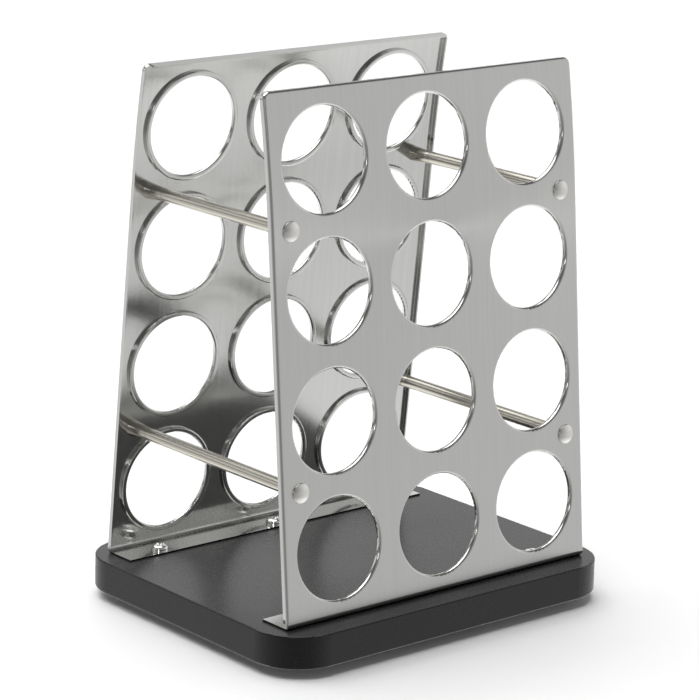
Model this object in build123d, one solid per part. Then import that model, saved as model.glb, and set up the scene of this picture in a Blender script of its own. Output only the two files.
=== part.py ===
from build123d import *
import math
import os

# Rotating rack for coffee pods: two perforated steel panels lean together on a board that turns.
# Millimetres. +Z is up and Z = 0 is the table. +X runs along the panels, -Y is the front.
# "Along" is measured up the front panel's outer face from the board, "depth" inwards from it.

# Pod holes
hole_diameter = 48.8
hole_columns = 3
hole_rows = 4
column_pitch = 61.6
row_pitch = 60.0
rim_roll = 2.6
rim_outer_bend = 1.25
rim_inner_bend = 0.75

# Side panels, pressed from one sheet each
sheet = 0.8
side_margin = 7.9
end_margin = 8.8
lean_angle = 5.3
straight_rows = 3
curve_radius = 750.0
panel_spread = 141.0
panel_corner_radius = 3.5
lip_depth = 3.0
lip_bend_radius = 1.3
lip_start = 3.6
top_lip_depth = 6.5
top_lip_corner = 1.5
flange_depth = 19.0
flange_bend_radius = 2.8
flange_end_setback = 0.5

# Tie rods and their end caps
rod_diameter = 6.2
rod_edge_distance = 10.7
rod_end_diameter = 8.0
rod_step_diameter = 7.4
rod_step = 0.1
rod_end_length = 4.5
rod_taper_length = 8.0
spigot_diameter = 4.0
spigot_clearance = 0.05
spigot_reach = 0.7
cap_diameter = 9.4
cap_rim = 0.5
cap_crown = 0.9
cap_edge_radius = 0.35

# Board
board_thickness = 16.0
board_side_margin = 9.6
board_front_margin = 13.0
board_corner_radius = 25.0
board_edge_easing = 0.7
board_gap = 5.0

# Screws that hold the panels' flanges to the board
flange_screw_spread = 72.0
flange_screw_inset = 13.7
flange_screw_head = 8.4
flange_screw_head_height = 2.6
flange_screw_shank = 3.5
flange_screw_length = 10.0
screw_hole_clearance = 0.35
pan_head_rounding = 0.65
cross_recess_width = 0.9
cross_recess_span = 0.66
cross_recess_sink = 0.6

# Ball swivel between the board and the foot
ball_diameter = 4.76
ball_count = 16
ball_circle_radius = 38.0
ball_clearance = 0.15
groove_depth = 0.5
swivel_plate = 1.2
swivel_plate_radius = 48.0
recess_clearance = 2.0
cage_thickness = 1.0
cage_rim = 1.6
cage_pocket_clearance = 0.15
rivet_diameter = 8.0
rivet_running_clearance = 0.08
rivet_head_diameter = 16.0
rivet_head_height = 1.2
rivet_head_clearance = 0.3
swivel_screw_radius = 24.0
swivel_screw_count = 4
swivel_screw_head = 6.0
swivel_screw_head_height = 1.6
swivel_screw_shank = 3.0
swivel_screw_length = 6.0
driver_hole_clearance = 1.0
through_cut = 24.0

# Foot
foot_disc_radius = 70.0
foot_disc_thickness = 3.0
foot_edge_easing = 0.6
foot_screw_head = 5.6
foot_screw_head_height = 1.7
foot_screw_sink = 0.2
foot_screw_tip = 0.8
foot_screw_angle = 45.0
pad_diameter = 12.0
pad_thickness = 1.5
pad_recess = 0.5
pad_edge_easing = 0.25
pad_count = 4
pad_circle_radius = 58.0
pad_angle = 45.0

# Worked out from the values above
on_bottom = Align.CENTER, Align.CENTER, Align.MIN
lean = math.radians(lean_angle)
panel_width = (hole_columns - 1) * column_pitch + hole_diameter + 2 * side_margin
panel_length = (hole_rows - 1) * row_pitch + hole_diameter + 2 * end_margin
first_row = end_margin + hole_diameter / 2
straight_length = first_row + (straight_rows - 0.5) * row_pitch
hole_places = [((column - (hole_columns - 1) / 2) * column_pitch, first_row + row * row_pitch)
               for column in range(hole_columns) for row in range(hole_rows)]
rod_offset = panel_width / 2 - rod_edge_distance
rod_heights = {"lower": first_row + row_pitch / 2,
               "upper": first_row + (hole_rows - 1.5) * row_pitch}
rod_sides = {"left": -1, "right": 1}

board_width = panel_width + 2 * board_side_margin
board_depth = panel_spread + 2 * board_front_margin
board_top = board_gap + board_thickness
flange_screw_y = panel_spread / 2 - flange_screw_inset
flange_screw_xs = (-flange_screw_spread, 0.0, flange_screw_spread)

foot_bottom = pad_thickness - pad_recess
foot_top = foot_bottom + foot_disc_thickness
lower_plate_top = foot_top + swivel_plate
plate_gap = ball_diameter - 2 * groove_depth + 2 * ball_clearance
ball_height = lower_plate_top + plate_gap / 2
upper_plate_bottom = lower_plate_top + plate_gap
upper_plate_top = upper_plate_bottom + swivel_plate
rivet_head_bottom = upper_plate_top + rivet_head_clearance
rivet_top = rivet_head_bottom + rivet_head_height

curve_centre_y = -panel_spread / 2 + straight_length * math.sin(lean) + curve_radius * math.cos(lean)
curve_centre_z = board_top + straight_length * math.cos(lean) - curve_radius * math.sin(lean)


def turn_at(along):
    """Angle between the front panel and the vertical."""
    return lean + max(0.0, along - straight_length) / curve_radius


def panel_point(along, depth):
    """Y and Z of a point of the front panel."""
    turn = turn_at(along)
    if along > straight_length:
        reach = curve_radius - depth
        return curve_centre_y - reach * math.cos(turn), curve_centre_z + reach * math.sin(turn)
    y = -panel_spread / 2 + along * math.sin(lean) + depth * math.cos(lean)
    z = board_top + along * math.cos(lean) - depth * math.sin(lean)
    return y, z


def depth_of(point):
    """Depth of a point behind the front panel's outer face."""
    y = point.Y - curve_centre_y
    z = point.Z - curve_centre_z
    if math.atan2(z, -y) > lean:
        return curve_radius - math.hypot(y, z)
    return curve_radius + y * math.cos(lean) - z * math.sin(lean)


def panel_vector(along, depth):
    y, z = panel_point(along, depth)
    return Vector(0, y, z)


def panel_frame(x, along):
    """Frame on the front panel's outer face, its Z axis pointing inwards."""
    y, z = panel_point(along, 0)
    turn = turn_at(along)
    return Plane(origin=(x, y, z), x_dir=(1, 0, 0), z_dir=(0, math.cos(turn), -math.sin(turn)))


def side_curve(depth, low, high):
    """Side view of one surface of the front panel: a straight line, then an arc."""
    straight = Line(panel_vector(low, depth), panel_vector(straight_length, depth))
    middle = (straight_length + high) / 2
    arc = ThreePointArc(panel_vector(straight_length, depth), panel_vector(middle, depth),
                        panel_vector(high, depth))
    return [straight, arc]


def panel_layer(depth_from, depth_to, low, high, width):
    """Solid between two depths of the front panel."""
    outer = side_curve(depth_from, low, high)
    inner = side_curve(depth_to, low, high)
    ends = [Line(panel_vector(low, depth_from), panel_vector(low, depth_to)),
            Line(panel_vector(high, depth_from), panel_vector(high, depth_to))]
    return extrude(make_face(outer + inner + ends), width / 2, both=True)


def rounded_layer(depth_from, depth_to, low, high, width, corner, bend):
    """Panel layer with rounded upper corners, bent over all round except at the bottom."""
    layer = panel_layer(depth_from, depth_to, low, high, width)
    top = panel_vector(high, (depth_from + depth_to) / 2).Z
    corners = [edge for edge in layer.edges()
               if abs(edge.center().X) > width / 2 - 0.01 and abs(edge.center().Z - top) < 0.01]
    layer = fillet(corners, corner)
    bottom = panel_vector(low, depth_from).Z
    rim = []
    for edge in layer.edges():
        points = [edge @ 0, edge @ 0.5, edge @ 1]
        on_face = all(abs(depth_of(point) - depth_from) < 0.01 for point in points)
        at_bottom = all(abs(point.Z - bottom) < 0.01 for point in points)
        across = abs(edge.center().X) < 0.01 and edge.center().Z < top - corner
        if on_face and not at_bottom and not across:
            rim.append(edge)
    return fillet(rim, bend)


def top_lip():
    """Strip that makes the lip deeper along the panel's top."""
    edge = panel_length - sheet
    start = (lip_bend_radius + lip_depth) / 2
    half_width = panel_width / 2 - panel_corner_radius
    outline = Polyline(panel_vector(panel_length, start), panel_vector(panel_length, top_lip_depth),
                       panel_vector(edge, top_lip_depth), panel_vector(edge, start), close=True)
    strip = extrude(make_face(outline), half_width, both=True)
    corners = [edge for edge in strip.edges() if abs(abs(edge.center().X) - half_width) < 0.01
               and abs(depth_of(edge.center()) - top_lip_depth) < 0.01]
    return fillet(corners, top_lip_corner)


def bottom_flange():
    """Strip at the panel's foot, bent inwards to lie on the board."""
    corner_y = -panel_spread / 2
    tip_y = corner_y + flange_depth
    inner_along = sheet * (1 + math.sin(lean)) / math.cos(lean)
    outer_corner = panel_vector(0, 0)
    inner_corner = panel_vector(inner_along, sheet)
    outline = Polyline((0, tip_y, board_top), outer_corner, panel_vector(lip_start, 0),
                       panel_vector(lip_start, sheet), inner_corner, (0, tip_y, board_top + sheet),
                       close=True)
    profile = make_face(outline)
    strip = extrude(profile, panel_width / 2 - flange_end_setback, both=True)
    for corner, radius in ((inner_corner, flange_bend_radius - sheet), (outer_corner, flange_bend_radius)):
        bend_line = strip.edges().filter_by(Axis.X).sort_by_distance(corner)[0]
        strip = fillet(bend_line, radius)
    return strip


def hole_edges(panel, radius, depth):
    """Round edges of the pod holes at one radius and depth."""
    found = []
    for edge in panel.edges():
        points = [edge @ (step / 4) for step in range(4)]
        if any(abs(depth_of(point) - depth) > 0.05 for point in points):
            continue
        for x, along in hole_places:
            local = [panel_frame(x, along).to_local_coords(point) for point in points]
            if all(abs(math.hypot(point.X, point.Y) - radius) < 0.05 for point in local):
                found.append(edge)
    return found


def front_panel():
    """Perforated panel: a shallow tray with rolled hole rims and a flange at its foot."""
    shell = rounded_layer(0, lip_depth, lip_start, panel_length, panel_width,
                          panel_corner_radius, lip_bend_radius)
    hollow = rounded_layer(sheet, lip_depth + sheet, 0, panel_length - sheet, panel_width - 2 * sheet,
                           panel_corner_radius - sheet, lip_bend_radius - sheet)
    panel = shell - hollow + top_lip() + bottom_flange()

    rim_layer = panel_layer(0, rim_roll, lip_start, panel_length, panel_width)
    inner = hole_diameter / 2
    outer = inner + rim_roll
    places = [panel_frame(x, along) for x, along in hole_places]
    panel = panel + [place * Cylinder(outer, through_cut) & rim_layer for place in places]
    panel = panel - [place * Cylinder(inner, through_cut) for place in places]
    for radius, depth, bend in ((inner, 0, rim_outer_bend), (inner, rim_roll, rim_inner_bend),
                                (outer, rim_roll, rim_inner_bend)):
        panel = fillet(hole_edges(panel, radius, depth), bend)

    spigot_hole = Cylinder(spigot_diameter / 2 + spigot_clearance, through_cut)
    for side in rod_sides.values():
        for along in rod_heights.values():
            y, z = panel_point(along, 0)
            panel -= Pos(side * rod_offset, y, z) * Rot(X=90) * spigot_hole
    screw_hole = Cylinder(flange_screw_shank / 2 + screw_hole_clearance, through_cut)
    for x in flange_screw_xs:
        panel -= Pos(x, -flange_screw_y, board_top) * screw_hole
    return panel


def space_between_panels():
    """Space between the inner faces of the two panels."""
    front = side_curve(sheet, 0, panel_length)
    rear = [curve.mirror(Plane.XZ) for curve in front]
    bottom = panel_vector(0, sheet)
    top = panel_vector(panel_length, sheet)
    ends = [Line(point, Vector(0, -point.Y, point.Z)) for point in (bottom, top)]
    return extrude(make_face(front + rear + ends), panel_width / 2, both=True)


def tie_rod(x, along, space):
    """Rod whose conical ends stop on the panels, with a spigot that goes through both."""
    outer_y, z = panel_point(along, 0)
    step_y = outer_y + sheet + rod_end_length
    step = rod_step_diameter / 2
    front = [(0, outer_y), (rod_end_diameter / 2, outer_y), (step, step_y),
             (step - rod_step, step_y), (rod_diameter / 2, step_y + rod_taper_length)]
    rear = [(radius, -y) for radius, y in reversed(front)]
    body = Pos(x, 0, z) * revolve(make_face(Polyline(front + rear, close=True)), Axis.Y) & space
    spigot = Rot(X=90) * Cylinder(spigot_diameter / 2, 2 * (spigot_reach - outer_y))
    return body + Pos(x, 0, z) * spigot


def front_cap(x, along, rod):
    """Low domed cap pressed on a rod's spigot, flat on the panel's outer face."""
    radius = cap_diameter / 2
    height = cap_rim + cap_crown
    middle = radius / 2
    crown_radius = (radius ** 2 + cap_crown ** 2) / (2 * cap_crown)
    middle_height = height - crown_radius + math.sqrt(crown_radius ** 2 - middle ** 2)
    foot = Polyline((0, height), (0, 0), (radius, 0), (radius, cap_rim))
    dome = ThreePointArc((radius, cap_rim), (middle, middle_height), (0, height))
    cap = Rot(X=90) * revolve(make_face([foot, dome]), Axis.Y)
    shoulder = cap.edges().filter_by(GeomType.CIRCLE).group_by(Axis.Z)[1]
    cap = fillet(shoulder, cap_edge_radius)
    return panel_frame(x, along) * Rot(X=180) * cap - rod


def board():
    """Board with rounded corners, a recess for the swivel and a pocket for its rivet."""
    body = Pos(0, 0, board_gap) * extrude(RectangleRounded(board_width, board_depth, board_corner_radius),
                                          board_thickness)
    faces = body.faces().sort_by(Axis.Z)
    body = fillet(faces[0].edges() + faces[-1].edges(), board_edge_easing)
    body -= Cylinder(swivel_plate_radius + recess_clearance, upper_plate_top, align=on_bottom)
    rivet_pocket = rivet_head_diameter / 2 + recess_clearance
    body -= Cylinder(rivet_pocket, rivet_top + rivet_head_clearance, align=on_bottom)
    return body


def cross_recess(head_diameter, depth):
    """Cross-shaped recess that narrows downwards from its mouth at Z = 0."""
    width = head_diameter * cross_recess_span
    bars = Box(width, cross_recess_width, 2 * depth) + Box(cross_recess_width, width, 2 * depth)
    return bars & Pos(0, 0, -depth / 2) * Cone(cross_recess_width / 2, width / 2, depth)


def pan_screw(head, head_height, shank, length):
    """Pan-head screw, its head's seat at Z = 0 and its shank pointing down."""
    body = Cylinder(head / 2, head_height, align=on_bottom)
    body = fillet(body.edges().sort_by(Axis.Z)[-1], head_height * pan_head_rounding)
    body -= Pos(0, 0, head_height) * cross_recess(head, head_height * cross_recess_sink)
    return body + Cylinder(shank / 2, length, align=(Align.CENTER, Align.CENTER, Align.MAX))


def flange_screws(side):
    """Screws of one panel; side is -1 for the front, 1 for the rear."""
    screw = pan_screw(flange_screw_head, flange_screw_head_height, flange_screw_shank, flange_screw_length)
    seat = board_top + sheet
    return [Pos(x, side * flange_screw_y, seat) * screw for x in flange_screw_xs]


def around(radius, count, start_angle):
    return PolarLocations(radius, count, start_angle)


def ball_groove():
    return Pos(0, 0, ball_height) * Torus(ball_circle_radius, ball_diameter / 2 + ball_clearance)


def swivel_disc(bottom, hole_radius):
    """Round plate of the swivel with its ball groove."""
    plate = Cylinder(swivel_plate_radius, swivel_plate) - Cylinder(hole_radius, swivel_plate)
    return Pos(0, 0, bottom + swivel_plate / 2) * plate - ball_groove()


def lower_plate():
    plate = swivel_disc(foot_top, rivet_diameter / 2)
    access = swivel_screw_head / 2 + driver_hole_clearance
    plate -= around(swivel_screw_radius, swivel_screw_count, 0) * Cylinder(access, through_cut)
    screw_hole = Cylinder(swivel_screw_shank / 2, through_cut)
    return plate - around(swivel_screw_radius, swivel_screw_count, foot_screw_angle) * screw_hole


def upper_plate():
    plate = swivel_disc(upper_plate_bottom, rivet_diameter / 2 + rivet_running_clearance)
    screw_hole = Cylinder(swivel_screw_shank / 2, through_cut)
    return plate - around(swivel_screw_radius, swivel_screw_count, 0) * screw_hole


def swivel_rivet():
    """Rivet fixed in the lower plate, its head over the upper plate."""
    low = foot_top - rivet_head_height
    rivet = Pos(0, 0, low) * Cylinder(rivet_head_diameter / 2, rivet_head_height, align=on_bottom)
    rivet += Pos(0, 0, low) * Cylinder(rivet_diameter / 2, rivet_top - low, align=on_bottom)
    rivet += Pos(0, 0, rivet_head_bottom) * Cylinder(rivet_head_diameter / 2, rivet_head_height, align=on_bottom)
    return rivet


def balls():
    return [place * Pos(0, 0, ball_height) * Sphere(ball_diameter / 2)
            for place in around(ball_circle_radius, ball_count, 0)]


def ball_cage():
    """Ring that keeps the balls apart."""
    pocket = ball_diameter / 2 + cage_pocket_clearance
    half_width = pocket + cage_rim
    ring = Cylinder(ball_circle_radius + half_width, cage_thickness)
    ring -= Cylinder(ball_circle_radius - half_width, cage_thickness)
    ring -= around(ball_circle_radius, ball_count, 0) * Cylinder(pocket, through_cut)
    return Pos(0, 0, ball_height) * ring


def board_screws():
    """Screws that hold the upper plate to the board, driven from below."""
    screw = Rot(X=180) * pan_screw(swivel_screw_head, swivel_screw_head_height,
                                   swivel_screw_shank, swivel_screw_length)
    return [place * Pos(0, 0, upper_plate_bottom) * screw
            for place in around(swivel_screw_radius, swivel_screw_count, 0)]


def foot_screw_blank():
    """Countersunk screw without its recess, its flat top down at Z = 0."""
    length = lower_plate_top + foot_screw_tip - foot_bottom - foot_screw_sink
    head = Cone(foot_screw_head / 2, swivel_screw_shank / 2, foot_screw_head_height, align=on_bottom)
    return head + Cylinder(swivel_screw_shank / 2, length, align=on_bottom)


def foot_screw_places():
    seat = Pos(0, 0, foot_bottom + foot_screw_sink)
    return [place * seat for place in around(swivel_screw_radius, swivel_screw_count, foot_screw_angle)]


def foot_screws():
    """Countersunk screws from under the foot into the lower plate."""
    recess = Rot(X=180) * cross_recess(foot_screw_head, foot_screw_head_height * cross_recess_sink)
    screw = foot_screw_blank() - recess
    return [place * screw for place in foot_screw_places()]


def foot_pads():
    pad = Cylinder(pad_diameter / 2, pad_thickness, align=on_bottom)
    pad = fillet(pad.edges().group_by(Axis.Z)[0], pad_edge_easing)
    return [place * pad for place in around(pad_circle_radius, pad_count, pad_angle)]


def foot_disc():
    """Disc that the rack stands on, with sunk seats for pads and screws."""
    disc = Cylinder(foot_disc_radius, foot_disc_thickness)
    disc = fillet(disc.edges(), foot_edge_easing)
    disc = Pos(0, 0, (foot_bottom + foot_top) / 2) * disc
    disc -= Cylinder(rivet_head_diameter / 2 + recess_clearance, through_cut)
    disc -= foot_pads()
    countersink = foot_screw_blank() + Cylinder(foot_screw_head / 2, 2 * foot_screw_sink)
    return disc - [place * countersink for place in foot_screw_places()]


def export(name, shape):
    solids = shape if isinstance(shape, list) else [shape]
    whole = Compound([solid for item in solids for solid in item.solids()])
    export_step(whole if len(whole.solids()) > 1 else whole.solids()[0], f"parts/{name}.step")


def main():
    os.makedirs("parts", exist_ok=True)
    front = front_panel()
    export("front_panel", front)
    export("rear_panel", front.mirror(Plane.XZ))
    space = space_between_panels()
    for level, along in rod_heights.items():
        for side_name, side in rod_sides.items():
            rod = tie_rod(side * rod_offset, along, space)
            cap = front_cap(side * rod_offset, along, rod)
            export(f"tie_rod_{level}_{side_name}", rod)
            export(f"rod_cap_front_{level}_{side_name}", cap)
            export(f"rod_cap_rear_{level}_{side_name}", cap.mirror(Plane.XZ))
    front_screws = flange_screws(-1)
    rear_screws = flange_screws(1)
    swivel_screws = board_screws()
    export("front_flange_screws", front_screws)
    export("rear_flange_screws", rear_screws)
    export("base_board", board() - front_screws - rear_screws - swivel_screws)
    export("swivel_upper_plate", upper_plate())
    export("swivel_lower_plate", lower_plate())
    export("swivel_rivet", swivel_rivet())
    export("bearing_balls", balls())
    export("ball_cage", ball_cage())
    export("swivel_board_screws", swivel_screws)
    export("foot_disc", foot_disc())
    export("foot_screws", foot_screws())
    export("foot_pads", foot_pads())


main()
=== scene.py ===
import math

import bmesh
import bpy
from mathutils import Matrix, Vector


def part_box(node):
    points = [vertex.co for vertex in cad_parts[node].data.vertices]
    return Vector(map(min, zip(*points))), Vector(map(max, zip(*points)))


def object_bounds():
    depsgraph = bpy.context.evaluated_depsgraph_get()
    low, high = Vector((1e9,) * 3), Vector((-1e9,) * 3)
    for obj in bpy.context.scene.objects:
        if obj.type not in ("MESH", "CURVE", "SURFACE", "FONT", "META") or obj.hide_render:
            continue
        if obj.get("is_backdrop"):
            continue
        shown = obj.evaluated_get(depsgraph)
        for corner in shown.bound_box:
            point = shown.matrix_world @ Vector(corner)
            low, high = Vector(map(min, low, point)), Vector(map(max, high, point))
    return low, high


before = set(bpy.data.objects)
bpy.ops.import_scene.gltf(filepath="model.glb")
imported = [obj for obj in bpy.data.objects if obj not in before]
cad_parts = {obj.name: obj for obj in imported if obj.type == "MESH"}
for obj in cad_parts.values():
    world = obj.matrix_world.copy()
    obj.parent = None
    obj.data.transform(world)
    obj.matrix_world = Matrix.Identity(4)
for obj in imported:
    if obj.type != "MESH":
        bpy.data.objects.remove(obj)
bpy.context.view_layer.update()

MM = 0.001
BOARD_TOP = 21 * MM
# Height above the board top, and fade, of the painted shadow line on the panels' lower edges
PAINTED_SHADOW_LINE_HEIGHT = 0.6 * MM
PAINTED_SHADOW_LINE_FADE = 0.3 * MM


class Wire:
    """A shader socket whose arithmetic adds Math nodes."""

    def __init__(self, finish, socket):
        self.finish = finish
        self.socket = socket

    def math(self, operation, *values, clamp=False):
        sockets = dict(enumerate(values))
        return self.finish.node("ShaderNodeMath", {"operation": operation, "use_clamp": clamp}, sockets)

    def __add__(self, other):
        return self.math("ADD", self, other)

    def __radd__(self, other):
        return self.math("ADD", other, self)

    def __sub__(self, other):
        return self.math("SUBTRACT", self, other)

    def __rsub__(self, other):
        return self.math("SUBTRACT", other, self)

    def __mul__(self, other):
        return self.math("MULTIPLY", self, other)

    def __pow__(self, other):
        return self.math("POWER", self, other)

    def __abs__(self):
        return self.math("ABSOLUTE", self)

    def limited(self):
        return self.math("ADD", self, 0, clamp=True)

    def step(self, low, high):
        """0 below low, 1 above high and a smooth rise between them."""
        settings = {"interpolation_type": "SMOOTHSTEP"}
        return self.finish.node("ShaderNodeMapRange", settings, {0: self, 1: low, 2: high})


class Nodes:
    """Adds nodes to one node tree."""

    def __init__(self, tree):
        self.tree = tree

    def node(self, kind, settings=None, sockets=None, output=0):
        """Adds a node with its settings and its sockets' values or links. Returns one of its outputs."""
        made = self.tree.nodes.new(kind)
        for name, value in (settings or {}).items():
            setattr(made, name, value)
        for name, value in (sockets or {}).items():
            self.feed(made.inputs[name], value)
        return Wire(self, made.outputs[output])

    def feed(self, socket, value):
        if isinstance(value, Wire):
            self.tree.links.new(value.socket, socket)
        else:
            socket.default_value = value

    def split(self, vector):
        parts = self.node("ShaderNodeSeparateXYZ", sockets={0: vector})
        return [Wire(self, output) for output in parts.socket.node.outputs]

    def join(self, x, y, z):
        return self.node("ShaderNodeCombineXYZ", sockets={0: x, 1: y, 2: z})

    def noise(self, vector, frequencies=(1, 1, 1), detail=2.0, roughness=0.5):
        """Noise with its own number of features a metre along each axis."""
        scaled = self.node("ShaderNodeVectorMath", {"operation": "MULTIPLY"}, {0: vector, 1: frequencies})
        sockets = {"Vector": scaled, "Scale": 1.0, "Detail": detail, "Roughness": roughness}
        return self.node("ShaderNodeTexNoise", {"noise_dimensions": "3D"}, sockets)

    def blend(self, factor, first, second):
        """Mix of two colours."""
        first, second = ((*c, 1) if isinstance(c, tuple) else c for c in (first, second))
        return self.node("ShaderNodeMix", {"data_type": "RGBA"}, {0: factor, 6: first, 7: second}, 2)


class Finish(Nodes):
    """A material of one Principled shader and the nodes that feed it."""

    def __init__(self, name, **constants):
        self.material = bpy.data.materials.new(name)
        self.material.use_nodes = True
        super().__init__(self.material.node_tree)
        self.shader = self.tree.nodes["Principled BSDF"]
        self.set(**constants)

    def set(self, **sockets):
        """Sets or links the shader's own sockets, named with underscores."""
        for name, value in sockets.items():
            if isinstance(value, tuple) and len(value) == 3:
                value = (*value, 1)
            self.feed(self.shader.inputs[name.replace("_", " ").title().replace("Ior", "IOR")], value)

    def place(self):
        """Object coordinates in metres."""
        return self.node("ShaderNodeTexCoord", output="Object")

    def normal(self):
        return self.node("ShaderNodeTexCoord", output="Normal")

    def bump(self, height, depth):
        """Feeds a height of 0 to 1, depth metres deep, to the shader's normal."""
        sockets = {"Height": height, "Distance": depth, "Strength": 1.0}
        self.feed(self.shader.inputs["Normal"], self.node("ShaderNodeBump", sockets=sockets))


def centred(noise):
    """Noise as a value about 0."""
    return noise - 0.5


# ---- finishes ----

def brushed_panel():
    """Stainless sheet brushed up and down: dull outside, smoother inside and in its bends, with a painted
    shadow line along its lower edge at the board.
    """
    steel = Finish("panel_brushed_stainless", metallic=1.0, anisotropic=0.7)
    place = steel.place()
    _, y, z = steel.split(place)
    _, facing, upward = steel.split(steel.normal())
    outer = (facing * y.math("SIGN", y)).step(-0.3, 0.3)
    # Painted shadow: faces that do not face up, within 0.6 mm above the board top, turn near black,
    # standing in for the shade between flange and board
    shadow_line_top = BOARD_TOP + PAINTED_SHADOW_LINE_HEIGHT
    painted_shadow_line = (1 - z.step(shadow_line_top, shadow_line_top + PAINTED_SHADOW_LINE_FADE)) * (1 - upward.step(0.3, 0.6))
    grooves = steel.noise(place, (2400, 30, 30), 3.0, 0.6)
    streaks = steel.noise(place, (560, 8, 8), 3.0, 0.55)
    clouds = steel.noise(place, (22, 22, 14), 2.0)
    shade = centred(streaks) * 0.7 + centred(grooves) * 0.7 + centred(clouds) * 0.3 + 0.5
    brushed = steel.blend(shade.limited(), (0.57, 0.57, 0.555), (0.67, 0.67, 0.655))
    # Base colour: brushed tone, turned near black along the painted shadow line
    steel.set(base_color=steel.blend(painted_shadow_line, brushed, (0.02, 0.02, 0.02)))
    flat = abs(facing).step(0.6, 0.9)
    uneven = centred(streaks) * 0.04 + centred(clouds) * 0.04
    steel.set(roughness=0.10 + flat * (0.03 + outer * 0.18) + uneven)
    steel.bump(grooves, 0.000006)
    return steel.material


def rod_nickel():
    """Drawn rod, nickel plated: fine lines along the rod and a warm tone."""
    nickel = Finish("rod_satin_nickel", metallic=1.0)
    place = nickel.place()
    lines = nickel.noise(place, (2600, 30, 2600), 2.0, 0.6)
    clouds = nickel.noise(place, (60, 40, 60), 2.0)
    shade = centred(lines) * 0.3 + centred(clouds) * 0.2 + 0.5
    nickel.set(base_color=nickel.blend(shade.limited(), (0.46, 0.44, 0.38), (0.60, 0.58, 0.52)))
    nickel.set(roughness=0.24 + centred(lines) * 0.1 + centred(clouds) * 0.08)
    nickel.bump(lines, 0.000010)
    return nickel.material


def turned_cap(centre):
    """Turned cap: rings about its own centre."""
    metal = Finish("cap_turned_nickel", metallic=1.0)
    place = metal.place()
    x, _, z = metal.split(place)
    across, up = x - centre.x, z - centre.z
    radius = (across * across + up * up) ** 0.5
    rings = metal.noise(metal.join(radius, 0, 0), (4200, 1, 1), 2.0, 0.6)
    clouds = metal.noise(place, (300, 300, 300), 2.0)
    shade = centred(rings) * 0.3 + centred(clouds) * 0.2 + 0.5
    metal.set(base_color=metal.blend(shade.limited(), (0.60, 0.59, 0.56), (0.74, 0.73, 0.70)))
    metal.set(roughness=0.14 + centred(clouds) * 0.1)
    metal.bump(rings, 0.000008)
    return metal.material


def bright_screw():
    metal = Finish("screw_bright_nickel", metallic=1.0)
    clouds = metal.noise(metal.place(), (500, 500, 500), 3.0)
    metal.set(base_color=metal.blend(clouds, (0.78, 0.78, 0.77), (0.90, 0.90, 0.88)))
    metal.set(roughness=0.06 + clouds * 0.10)
    metal.bump(clouds, 0.00001)
    return metal.material


def black_lacquer():
    """Satin black lacquer with a faint orange peel; its top is painted several times lighter than its
    sides, as light falling from above.
    """
    lacquer = Finish("board_black_lacquer", ior=1.42, specular_ior_level=0.5)
    place = lacquer.place()
    peel = lacquer.noise(place, (900, 900, 900), 2.0)
    clouds = lacquer.noise(place, (30, 30, 30), 3.0)
    # Painted light: faces turned up get a base colour several times lighter than the sides, standing in for
    # light falling on the board's top
    upward = lacquer.split(lacquer.normal())[2].step(0.5, 0.9)
    side = lacquer.blend(clouds, (0.003, 0.003, 0.003), (0.006, 0.0057, 0.0059))
    painted_lit_top = lacquer.blend(clouds, (0.024, 0.0235, 0.024), (0.036, 0.035, 0.036))
    lacquer.set(base_color=lacquer.blend(upward, side, painted_lit_top))
    lacquer.set(roughness=0.27 + centred(clouds) * 0.06 + centred(peel) * 0.05)
    lacquer.bump(peel, 0.00002)
    return lacquer.material


def zinc_plate():
    zinc = Finish("swivel_zinc_plate", metallic=1.0)
    clouds = zinc.noise(zinc.place(), (140, 140, 140), 3.0)
    zinc.set(base_color=zinc.blend(clouds, (0.50, 0.52, 0.55), (0.66, 0.67, 0.66)))
    zinc.set(roughness=0.28 + clouds * 0.2)
    zinc.bump(clouds, 0.00002)
    return zinc.material


def polished_ball():
    steel = Finish("ball_polished_steel", metallic=1.0)
    clouds = steel.noise(steel.place(), (400, 400, 400), 2.0)
    steel.set(base_color=steel.blend(clouds, (0.68, 0.68, 0.69), (0.78, 0.78, 0.79)))
    steel.set(roughness=0.06 + clouds * 0.08)
    return steel.material


def moulded(name, dark, light, roughness, grain):
    """Moulded plastic or rubber with a fine spark grain."""
    plastic = Finish(name, ior=1.48)
    place = plastic.place()
    grains = plastic.noise(place, (grain, grain, grain), 2.0, 0.6)
    clouds = plastic.noise(place, (40, 40, 40), 2.0)
    plastic.set(base_color=plastic.blend(clouds, dark, light))
    plastic.set(roughness=roughness + centred(grains) * 0.15)
    plastic.bump(grains, 0.00003)
    return plastic.material


# ---- finishes on the CAD nodes ----

def wear(node, material):
    """Gives a CAD node its finish."""
    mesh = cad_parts[node].data
    mesh.materials.clear()
    mesh.materials.append(material)


panel_steel = brushed_panel()
rod_finish = rod_nickel()
screw_finish = bright_screw()
zinc_finish = zinc_plate()
wear("front_panel", panel_steel)
wear("rear_panel", panel_steel)
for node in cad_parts:
    if node.startswith("tie_rod"):
        wear(node, rod_finish)
    if node.startswith("rod_cap"):
        low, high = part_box(node)
        wear(node, turned_cap((Vector(low) + Vector(high)) / 2))
for node in ("front_flange_screws", "rear_flange_screws"):
    wear(node, screw_finish)
for node in ("swivel_upper_plate", "swivel_lower_plate", "swivel_rivet", "swivel_board_screws",
             "foot_screws"):
    wear(node, zinc_finish)
wear("base_board", black_lacquer())
wear("bearing_balls", polished_ball())
wear("ball_cage", moulded("cage_nylon", (0.70, 0.68, 0.62), (0.80, 0.78, 0.72), 0.45, 1800))
wear("foot_disc", moulded("foot_black_plastic", (0.022, 0.022, 0.022), (0.032, 0.032, 0.032), 0.5, 1500))
wear("foot_pads", moulded("pad_rubber", (0.030, 0.030, 0.030), (0.045, 0.045, 0.045), 0.8, 1100))


# ---- studio ----

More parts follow.
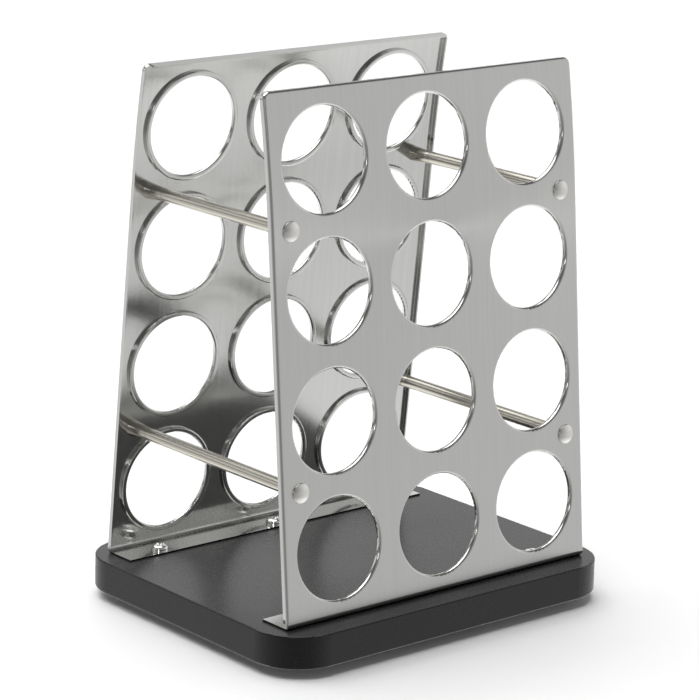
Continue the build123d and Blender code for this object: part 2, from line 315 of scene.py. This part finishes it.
def floor():
    sheet = bmesh.new()
    bmesh.ops.create_grid(sheet, x_segments=1, y_segments=1, size=6.0)
    mesh = bpy.data.meshes.new("floor")
    sheet.to_mesh(mesh)
    sheet.free()
    plane = bpy.data.objects.new("floor", mesh)
    bpy.context.scene.collection.objects.link(plane)
    paint = Finish("floor_white", base_color=(0.97, 0.97, 0.97), roughness=0.5)
    mesh.materials.append(paint.material)
    plane.visible_glossy = False
    plane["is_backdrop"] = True


def softbox(name, place, aim, width, height, power):
    light = bpy.data.lights.new(name, "AREA")
    light.shape = "RECTANGLE"
    light.size = width
    light.size_y = height
    light.energy = power
    lamp = bpy.data.objects.new(name, light)
    lamp.location = place
    lamp.rotation_euler = (Vector(aim) - Vector(place)).to_track_quat("-Z", "Y").to_euler()
    bpy.context.scene.collection.objects.link(lamp)


def room_light():
    """White table and low walls under a bright ceiling, darker to the front left and on the far horizon."""
    world = bpy.data.worlds.new("studio")
    world.use_nodes = True
    room = Nodes(world.node_tree)
    x, y, z = room.split(room.node("ShaderNodeTexCoord", output="Generated"))
    horizon = -0.04, 0.02
    least, table_level, table_below, wall_level, ceiling_level = 0.14, 0.72, 0.6, 0.84, 3.3
    away = x * 0.64 + y * 0.77
    near = (1 - z.step(-0.55, -0.30)) * table_below
    table = (1 - z.step(*horizon)) * away.step(-1.5, 0.3) * (table_level + near)
    above = z - y.step(0.0, 0.4) * 0.14
    walls = above.step(*horizon) * (1 - z.step(0.30, 0.60)) * away.step(-1.1, 0.3) * wall_level
    overhead = z * 0.965 + y * 0.24 - x * 0.10
    ceiling = overhead.step(0.78, 0.90) * ceiling_level
    lit = least + table + walls + ceiling
    background = world.node_tree.nodes["Background"]
    room.feed(background.inputs["Color"], (1, 1, 1, 1))
    room.feed(background.inputs["Strength"], lit)
    bpy.context.scene.world = world


def camera():
    """Long lens, a little above the rack and to its front left."""
    azimuth, elevation = math.radians(-40.4404), math.radians(14.7708)
    back = Vector((math.sin(azimuth) * math.cos(elevation),
                   -math.cos(azimuth) * math.cos(elevation),
                   math.sin(elevation)))
    target = Vector((-1.09, 0, 124.72)) * MM
    distance, roll = 1480.01 * MM, 0.026955
    data = bpy.data.cameras.new("camera")
    data.sensor_width = 36.0
    data.lens = 157.723
    data.clip_start, data.clip_end = 0.05, 50
    eye = bpy.data.objects.new("camera", data)
    turn = (-back).to_track_quat("-Z", "Y") @ Matrix.Rotation(roll, 3, "Z").to_quaternion()
    eye.matrix_world = Matrix.Translation(target + back * distance) @ turn.to_matrix().to_4x4()
    bpy.context.scene.collection.objects.link(eye)
    bpy.context.scene.camera = eye


floor()
room_light()
softbox("key", place=(-1.9, -1.7, 0.75), aim=(0, 0, 0.1), width=0.35, height=0.35, power=3)
camera()
bpy.context.scene.view_settings.view_transform = "Standard"

low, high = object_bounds()
